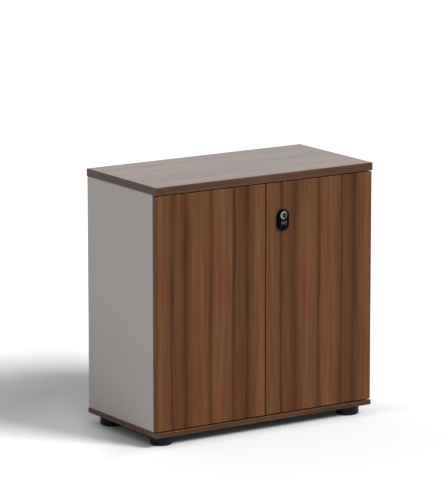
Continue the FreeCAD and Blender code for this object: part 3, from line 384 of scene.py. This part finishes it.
def dress_nodes(nodes, record):
    """Gives every part the material of its slot, or its own where that differs."""
    door_low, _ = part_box("left_door_edge_band")
    next_low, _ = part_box("right_door_edge_band")
    base_low, base_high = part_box("base_panel")
    by_slot = {
        "walnut_board": walnut("walnut_board", "y", "x", TOP_FINISH),
        "walnut_edge": walnut("walnut_edge", "z", "xy", EDGE_FINISH),
        "grey_board": melamine("grey_board", *GREY_BOARD),
        "grey_edge": melamine("grey_edge", *GREY_EDGE),
        "beech": beech("beech"),
        "zinc": metal("cast_zinc", *CAST_ZINC),
        "nickel": metal("nickel_plate", *NICKEL_PLATE),
        "steel": metal("zinc_plated_steel", *PLATED_STEEL),
        "chrome": metal("polished_chrome", *POLISHED_CHROME),
        "lock_black": plastic("lock_black", *LOCK_BLACK),
        "wheel_black": plastic("wheel_black", *WHEEL_BLACK),
        "foot_black": plastic("foot_black", *FOOT_BLACK),
    }
    base_middle = (base_low.z + base_high.z) / 2
    own = {
        # Painted shade on the underside of the base
        "base_panel": walnut("walnut_base", "y", "x", TOP_FINISH, shade_below=base_middle),
        # Painted light on the strips at the left and right of the base
        "base_edge_band": walnut("walnut_base_edge", "z", "xy", EDGE_FINISH, painted_light_ends=True),
        "lock_knob": plastic("knob_black", *KNOB_BLACK),
    }
    door_print = (door_low.x, next_low.x - door_low.x)
    door_walnut = walnut("walnut_door", "x", "z", DOOR_FINISH, streaks=door_print)
    for side in ("left", "right"):
        own[f"{side}_door_panel"] = door_walnut
        own[f"{side}_door_edge_band"] = door_walnut
    slot_of = {part["node"]: part["material_slot"] for part in record["subparts"]}
    for name, node in nodes.items():
        node.data.materials.clear()
        node.data.materials.append(own.get(name) or by_slot[slot_of[name]])


def add_figures():
    """White figures on the flats of the number wheels, one mesh for each wheel."""
    paint = plastic("figure_white", *FIGURE_WHITE)
    for name, shown in zip(WHEEL_NAMES, SHOWN_FIGURES):
        low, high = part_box(f"number_wheel_{name}")
        centre = (low + high) / 2
        flat = (high.y - low.y) / 2
        points, faces = [], []
        for step in range(FIGURES):
            turn = Matrix.Translation(centre) @ Matrix.Rotation(step * math.tau / FIGURES, MATRIX_ROWS, "X")
            mesh = figure_mesh(str((shown + step) % FIGURES), flat)
            base = len(points)
            points += [turn @ vertex.co for vertex in mesh.vertices]
            faces += [[base + index for index in polygon.vertices] for polygon in mesh.polygons]
            bpy.data.meshes.remove(mesh)
        merged = bpy.data.meshes.new(f"figures_{name}")
        merged.from_pydata(points, [], faces)
        merged.materials.append(paint)
        piece = bpy.data.objects.new(f"figures_{name}", merged)
        bpy.context.scene.collection.objects.link(piece)
        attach(piece, f"{name}_wheel")


def figure_mesh(text, flat):
    """One figure, upright on the flat that faces -Y, around the wheel's axis."""
    curve = bpy.data.curves.new("figure", "FONT")
    curve.body = text
    curve.size = FIGURE_HEIGHT / TYPE_SHARE
    curve.extrude = FIGURE_DEPTH
    curve.offset = FIGURE_SWELL
    curve.align_x = "CENTER"
    shape = bpy.data.objects.new("figure", curve)
    bpy.context.scene.collection.objects.link(shape)
    bpy.context.view_layer.update()
    mesh = bpy.data.meshes.new_from_object(shape.evaluated_get(bpy.context.evaluated_depsgraph_get()))
    bpy.data.objects.remove(shape)
    bpy.data.curves.remove(curve)
    heights = [vertex.co.y for vertex in mesh.vertices]
    middle = (min(heights) + max(heights)) / 2
    centred = Matrix.Translation((0, -middle, 0))
    upright = Matrix.Rotation(QUARTER_TURN, MATRIX_ROWS, "X")
    outward = Matrix.Translation((0, -flat - FIGURE_LIFT, 0))
    mesh.transform(outward @ upright @ centred)
    return mesh


def add_camera():
    data = bpy.data.cameras.new("camera")
    data.sensor_width = SENSOR
    data.lens = FOCAL_PIXELS * SENSOR / max(IMAGE_WIDTH, IMAGE_HEIGHT)
    data.clip_end = CLIP_END
    camera = bpy.data.objects.new("camera", data)
    camera.location = CAMERA_PLACE
    camera.rotation_euler = (math.radians(LEVEL_TILT - CAMERA_PITCH), 0, math.radians(-CAMERA_YAW))
    bpy.context.scene.collection.objects.link(camera)
    bpy.context.scene.camera = camera


def add_sun():
    data = bpy.data.lights.new("sun", "SUN")
    data.energy = SUN_STRENGTH
    data.angle = math.radians(SUN_ANGLE)
    lamp = bpy.data.objects.new("sun", data)
    lamp.rotation_euler = Vector(SUN_FROM).to_track_quat("Z", "Y").to_euler()
    bpy.context.scene.collection.objects.link(lamp)


def seen_rays(tree):
    """Node value that is 1 for camera, glossy and transmission rays, and 0 for the rest."""
    path = tree.nodes.new("ShaderNodeLightPath")
    total = path.outputs["Is Camera Ray"]
    for name in ("Is Glossy Ray", "Is Transmission Ray"):
        node = tree.nodes.new("ShaderNodeMath")
        node.operation = "MAXIMUM"
        tree.links.new(total, node.inputs[0])
        tree.links.new(path.outputs[name], node.inputs[1])
        total = node.outputs[0]
    return total


def add_world():
    """White to the eye and in reflections, softer as light."""
    world = bpy.data.worlds.new("studio")
    world.use_nodes = True
    tree = world.node_tree
    background = tree.nodes["Background"]
    background.inputs["Color"].default_value = WHITE
    strength = tree.nodes.new("ShaderNodeMapRange")
    tree.links.new(seen_rays(tree), strength.inputs["Value"])
    strength.inputs["To Min"].default_value = SKY_LIGHT
    tree.links.new(strength.outputs[0], background.inputs["Strength"])
    bpy.context.scene.world = world


def add_floor():
    """Pale matt floor that keeps the shadow. Away from the cabinet it glows to the eye and meets the
    background."""
    half = FLOOR_SIZE / 2
    corners = [(-half, -half, 0), (half, -half, 0), (half, half, 0), (-half, half, 0)]
    mesh = bpy.data.meshes.new("floor")
    mesh.from_pydata(corners, [], [tuple(range(len(corners)))])
    paint = Shading("floor")
    paint.set("Base Color", FLOOR_COLOR)
    paint.set("Specular IOR Level", 0)
    paint.set("Emission Color", WHITE)
    depth = paint.axis["y"]
    far_glow = paint.spread(paint.length(paint.position), 0, FAR_GLOW, *FAR_SPAN)
    near_glow = paint.spread(depth, NEAR_GLOW, 0, *NEAR_SPAN)
    lean = paint.math("MULTIPLY", depth, BESIDE_LEAN)
    leant_width = paint.math("ADD", paint.math("ABSOLUTE", paint.axis["x"]), lean)
    beside = paint.spread(leant_width, 0, 1, *BESIDE_SPAN)
    before = paint.spread(depth, 0, 1, *BEFORE_SPAN)
    around = paint.math("MAXIMUM", beside, before)
    glow = paint.math("ADD", far_glow, paint.math("MULTIPLY", around, near_glow))
    paint.link("Emission Strength", paint.math("MULTIPLY", glow, seen_rays(paint.tree)))
    mesh.materials.append(paint.material)
    floor = bpy.data.objects.new("floor", mesh)
    bpy.context.scene.collection.objects.link(floor)


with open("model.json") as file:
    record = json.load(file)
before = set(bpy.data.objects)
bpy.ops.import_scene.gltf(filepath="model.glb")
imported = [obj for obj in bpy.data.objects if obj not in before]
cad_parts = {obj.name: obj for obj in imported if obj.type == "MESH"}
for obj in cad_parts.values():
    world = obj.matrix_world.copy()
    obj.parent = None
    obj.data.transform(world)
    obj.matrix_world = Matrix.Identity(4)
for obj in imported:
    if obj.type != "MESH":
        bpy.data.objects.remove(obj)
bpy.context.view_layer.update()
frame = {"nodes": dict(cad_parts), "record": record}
bpy.context.scene.view_settings.view_transform = "Standard"
dress_nodes(frame["nodes"], frame["record"])
add_figures()
add_camera()
add_world()
add_floor()
add_sun()
